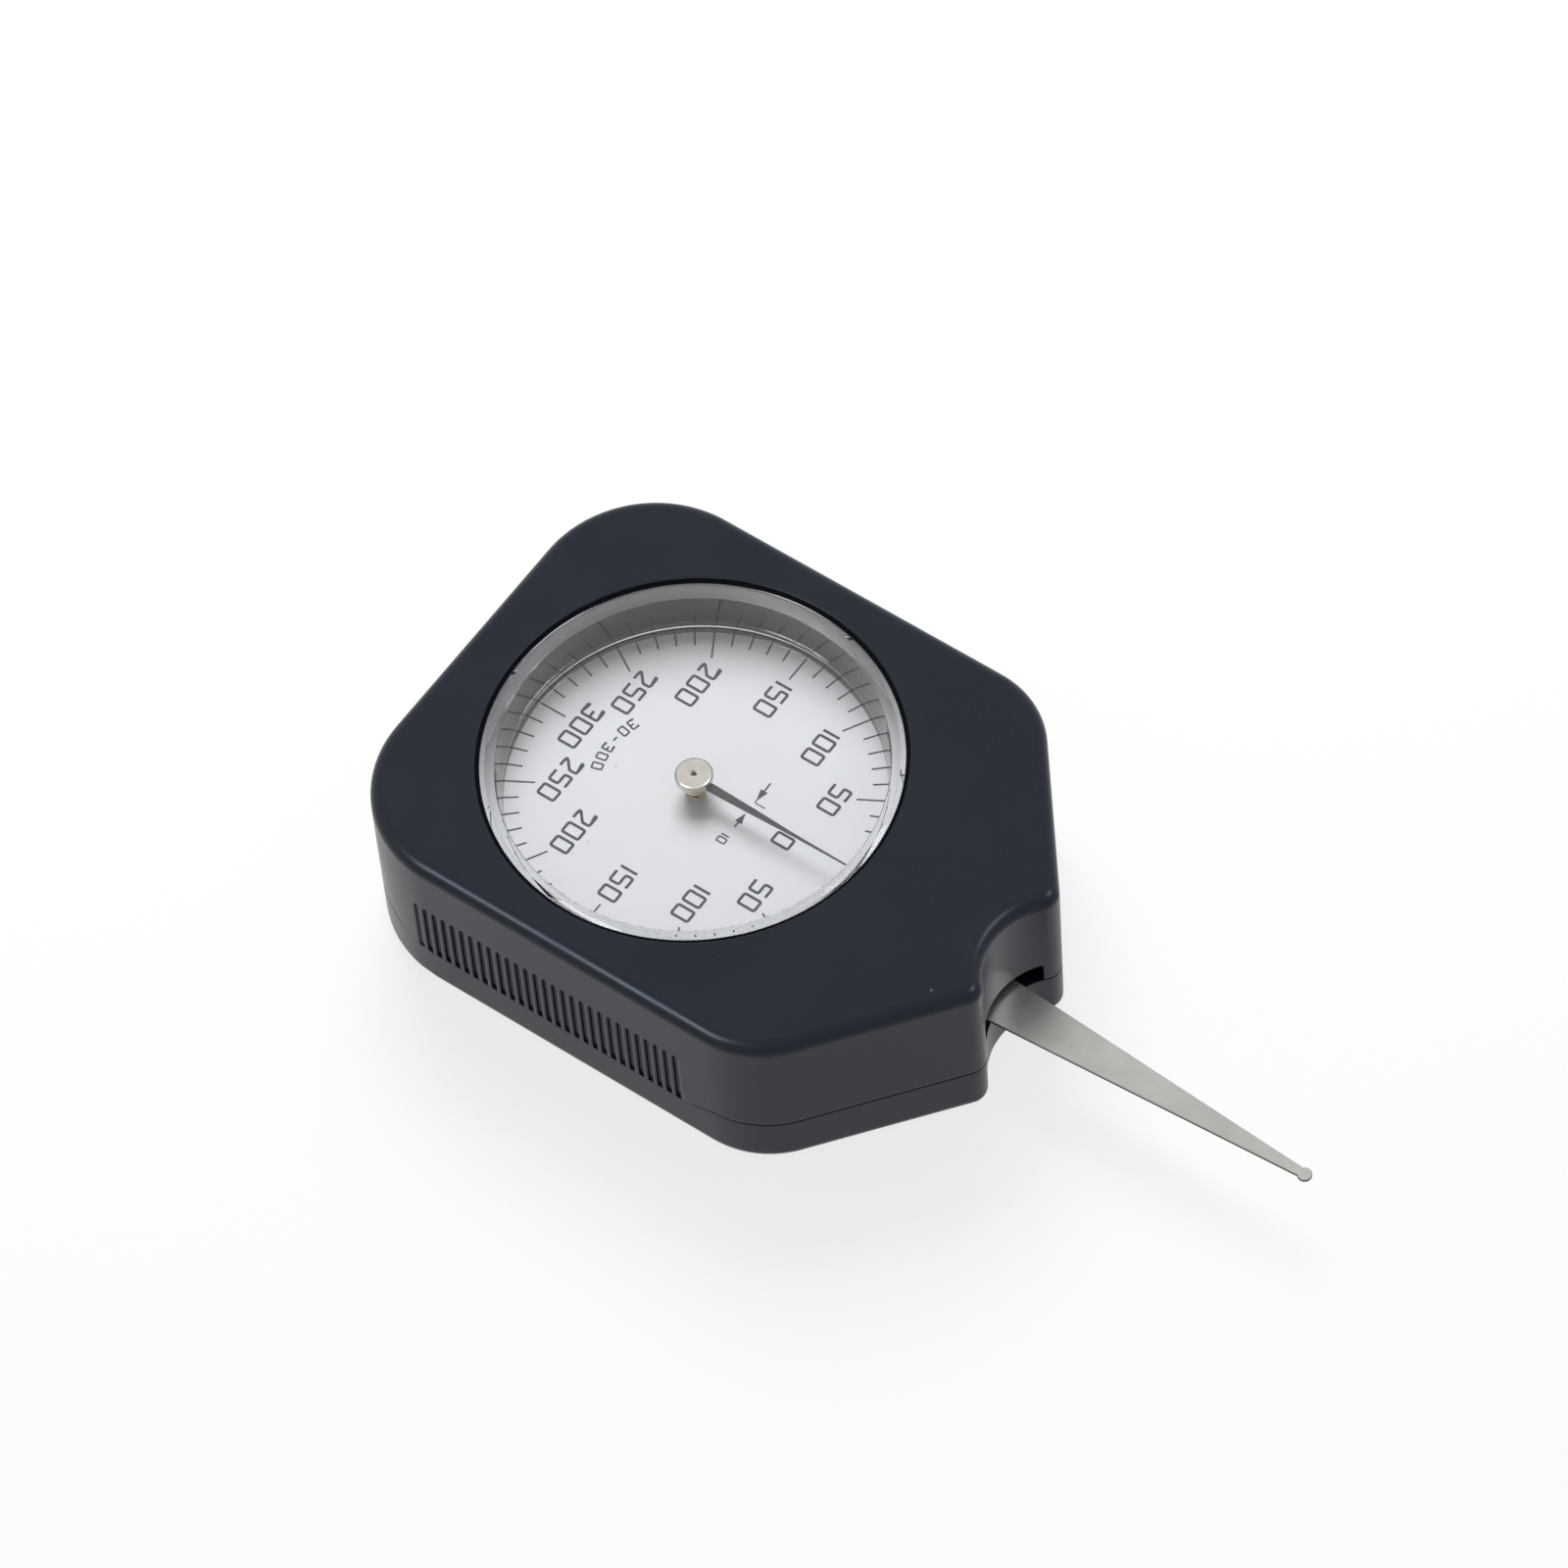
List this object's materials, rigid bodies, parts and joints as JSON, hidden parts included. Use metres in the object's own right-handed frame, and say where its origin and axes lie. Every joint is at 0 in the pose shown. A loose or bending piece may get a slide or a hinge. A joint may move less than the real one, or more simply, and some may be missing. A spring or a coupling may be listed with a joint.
{
  "type": "dial tension gauge",
  "caption": "Pocket force gauge: a flat case with ribbed sides, a round dial under a clear window and a flat steel feeler that swings both ways at the nose and turns the pointer.",
  "frame": {"origin": "point of the flat back face under the pointer's axis", "axes": "+X from the pointer's axis to the nose and the feeler's tip, +Z out of the dial, +Y to the left seen from the dial side with the nose up"},
  "size_m": [0.1175, 0.06, 0.024],
  "materials": {
    "case_plastic": "moulded, fine satin grain",
    "clear_plastic": "clear polished acrylic",
    "dial_paint": "matte silver-white with dark grey print",
    "screw_steel": "turned steel",
    "feeler_steel": "satin, finely ground along its length",
    "spring_steel": "blued strip",
    "brass": "machined",
    "nickel_plate": "polished nickel plate",
    "pointer_paint": "matte dark grey"
  },
  "bodies": {
    "casing": {"front_case": "case_plastic", "back_cover": "case_plastic", "crystal": "clear_plastic", "dial_plate": "dial_paint", "case_screw_1": "screw_steel", "case_screw_2": "screw_steel", "case_screw_3": "screw_steel", "case_screw_4": "screw_steel", "lower_plate": "brass", "upper_plate": "brass", "pillar_1": "brass", "pillar_2": "brass", "pillar_3": "brass", "pillar_4": "brass", "upper_screw_1": "screw_steel", "upper_screw_2": "screw_steel", "upper_screw_3": "screw_steel", "upper_screw_4": "screw_steel", "lower_screw_1": "screw_steel", "lower_screw_2": "screw_steel", "lower_screw_3": "screw_steel", "lower_screw_4": "screw_steel", "post_screw_1": "screw_steel", "post_screw_2": "screw_steel", "post_screw_3": "screw_steel", "stop_pin_1": "screw_steel", "stop_pin_2": "screw_steel", "arm_bush_lower": "brass", "arm_bush_upper": "brass", "arbor_bush_lower": "brass", "arbor_bush_upper": "brass", "measuring_spring": "spring_steel", "hairspring": "spring_steel", "spring_stud": "brass", "hairspring_stud": "brass"},
    "feeler": {"feeler_blade": "feeler_steel", "arm_hub": "brass", "arm_shaft": "screw_steel", "toothed_sector": "brass", "spring_collet": "brass", "arm_screw_1": "screw_steel", "arm_screw_2": "screw_steel"},
    "pointer": {"pointer_arbor": "screw_steel", "pinion": "brass", "hairspring_collet": "brass", "pointer_collar": "nickel_plate", "pointer": "pointer_paint", "pointer_cap": "nickel_plate"}
  },
  "joints": [
    {"name": "feeler_swing", "type": "hinge", "parent": "casing", "child": "feeler", "pos_m": [0.034, 0, 0], "axis": [0, 0, 1], "range_deg": [-11.25, 11.25], "stiffness_Nm_per_rad": 0.76},
    {"name": "pointer_spin", "type": "hinge", "parent": "casing", "child": "pointer", "pos_m": [0, 0, 0], "axis": [0, 0, 1], "range_deg": [-180, 180]}
  ],
  "couplings": [
    {"joint": "pointer_spin", "follows": "feeler_swing", "ratio": -16}
  ]
}
